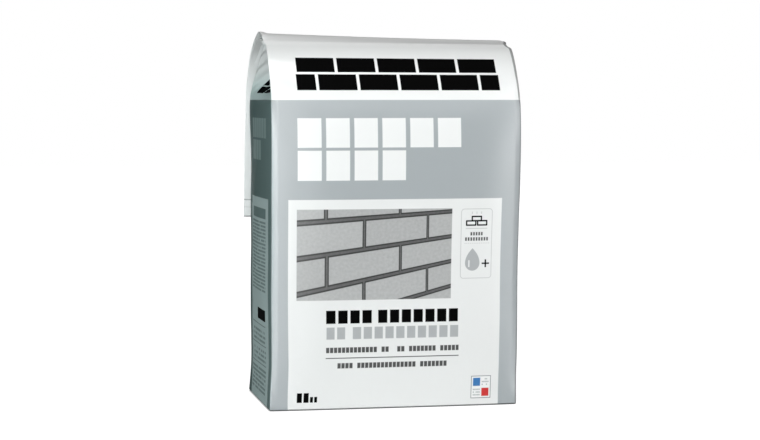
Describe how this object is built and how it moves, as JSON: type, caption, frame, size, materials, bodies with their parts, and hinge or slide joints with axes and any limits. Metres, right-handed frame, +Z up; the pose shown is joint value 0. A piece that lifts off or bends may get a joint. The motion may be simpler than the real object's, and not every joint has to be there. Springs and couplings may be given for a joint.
{
  "type": "cement bag",
  "caption": "Small filled cement bag standing upright on a block bottom, with side gussets and its empty neck rolled over the top and hanging down behind.",
  "frame": {"origin": "centre of the flat base, on the floor", "axes": "+Z up, -Y out of the front panel, +X to the right as seen facing the front"},
  "size_m": [0.2287, 0.1347, 0.3267],
  "materials": {
    "printed_film": "satin print on film"
  },
  "bodies": {
    "root": {"cement_sack": "printed_film"}
  },
  "joints": []
}
